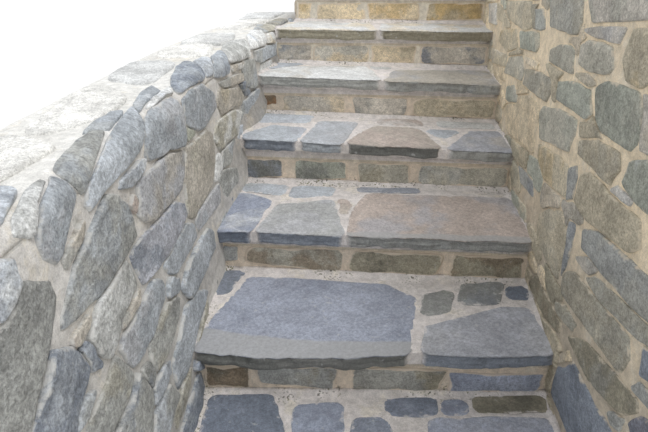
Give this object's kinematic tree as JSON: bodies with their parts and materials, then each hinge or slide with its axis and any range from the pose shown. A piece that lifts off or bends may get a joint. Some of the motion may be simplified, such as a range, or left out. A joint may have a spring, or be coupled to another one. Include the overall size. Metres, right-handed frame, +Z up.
{
  "type": "outdoor stone steps",
  "caption": "Rubble-masonry garden steps with crazy-paved flag treads, a low battered curving wall on one side and a tall upright wall on the other.",
  "frame": {"origin": "middle of the footprint, at ground level", "axes": "+X across the flight to the right as it is climbed, +Y up the flight, +Z up"},
  "size_m": [1.918, 3.392, 1.65],
  "materials": {
    "bedding_mortar": "rough lime mortar, flush and smeared",
    "flagstone": "riven blue-grey sandstone",
    "riser_stone": "hammer-faced tan and olive sandstone",
    "rubble_fill": "packed rubble",
    "retaining_stone": "coursed rubble",
    "capping_stone": "weathered pale sandstone",
    "blue_wall_stone": "cleft blue-grey sandstone rubble in cream mortar",
    "tan_wall_stone": "tan and olive sandstone rubble in warm mortar"
  },
  "bodies": {
    "root": {"landing_cheek": "riser_stone", "left_wall_bend": "blue_wall_stone", "left_wall_capstones": "capping_stone", "left_wall_end": "blue_wall_stone", "left_wall_lower": "blue_wall_stone", "left_wall_middle": "blue_wall_stone", "rear_facing": "retaining_stone", "right_wall": "tan_wall_stone", "right_wall_capstones": "capping_stone", "riser_1": "riser_stone", "riser_2": "riser_stone", "riser_3": "riser_stone", "riser_4": "riser_stone", "riser_5": "riser_stone", "riser_6": "riser_stone", "riser_7": "riser_stone", "rubble_core": "rubble_fill", "tread_1_bed": "bedding_mortar", "tread_1_left_slab": "flagstone", "tread_1_right_slab": "flagstone", "tread_1_small_stones": "flagstone", "tread_2_bed": "bedding_mortar", "tread_2_left_slab": "flagstone", "tread_2_right_slab": "flagstone", "tread_2_small_stones": "flagstone", "tread_3_bed": "bedding_mortar", "tread_3_left_slab": "flagstone", "tread_3_right_slab": "flagstone", "tread_3_small_stones": "flagstone", "tread_4_bed": "bedding_mortar", "tread_4_left_slab": "flagstone", "tread_4_right_slab": "flagstone", "tread_4_small_stones": "flagstone", "tread_5_bed": "bedding_mortar", "tread_5_left_slab": "flagstone", "tread_5_right_slab": "flagstone", "tread_5_small_stones": "flagstone", "tread_6_bed": "bedding_mortar", "tread_6_left_slab": "flagstone", "tread_6_right_slab": "flagstone", "tread_6_small_stones": "flagstone", "tread_7_bed": "bedding_mortar", "tread_7_left_slab": "flagstone", "tread_7_right_slab": "flagstone", "tread_7_small_stones": "flagstone"}
  },
  "joints": []
}
